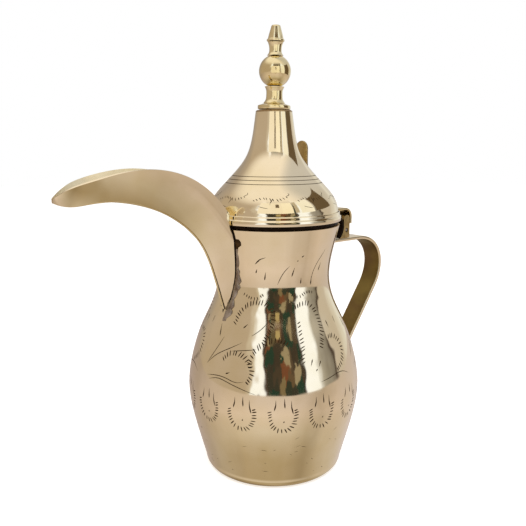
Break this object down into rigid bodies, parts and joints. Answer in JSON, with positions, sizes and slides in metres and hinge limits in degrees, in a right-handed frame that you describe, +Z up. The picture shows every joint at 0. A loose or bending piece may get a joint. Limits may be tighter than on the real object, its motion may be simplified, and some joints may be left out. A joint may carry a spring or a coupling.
{
  "type": "coffee pot",
  "caption": "Turned waisted brass coffee pot with an open crescent beak spout, a flat strap handle and a hinged domed lid with a turned finial.",
  "frame": {"origin": "middle of the flat underside of the base, on the pot's turning axis", "axes": "+Z up along the turning axis to the finial, -X towards the spout, +X towards the handle and hinge, Y across"},
  "size_m": [0.2546, 0.1154, 0.29],
  "materials": {
    "polished_brass": "bright hand-polished pale brass with chased ornament, fine scratches and dark metal in the cuts",
    "cast_brass": "satin cast or brazed brass with file marks and tarnish in the corners",
    "dark_brass": "unpolished, dark brown patina",
    "solder": "dull grey lumpy soft solder with flux stains",
    "steel": "plain drawn steel, slightly oxidised"
  },
  "bodies": {
    "pot": {"belly_shell": "polished_brass", "neck_shell": "polished_brass", "base_disc": "polished_brass", "base_solder_ring": "solder", "spout_near_plate": "polished_brass", "spout_far_plate": "polished_brass", "spout_keel_braze": "cast_brass", "spout_solder_near": "solder", "spout_solder_far": "solder", "handle_strap": "polished_brass", "handle_top_solder": "solder", "handle_foot_solder": "solder", "hinge_back_plate": "polished_brass", "hinge_ear_near": "cast_brass", "hinge_ear_far": "cast_brass", "hinge_pin": "steel"},
    "lid": {"lid_dome": "polished_brass", "lid_cone": "polished_brass", "lid_flange_band": "polished_brass", "lid_plug_ring": "dark_brass", "lid_strap": "cast_brass", "lid_strap_rivet_lower": "polished_brass", "lid_strap_rivet_upper": "polished_brass", "finial_collar": "polished_brass", "finial_stem": "polished_brass", "finial_ball": "polished_brass", "finial_neck": "polished_brass", "finial_tip": "polished_brass", "finial_rod": "steel", "finial_washer": "steel", "finial_nut": "steel"}
  },
  "joints": [
    {"name": "lid_hinge", "type": "hinge", "parent": "pot", "child": "lid", "pos_m": [0.064, 0, 0.156], "axis": [0, 1, 0], "range_deg": [0, 90]}
  ]
}
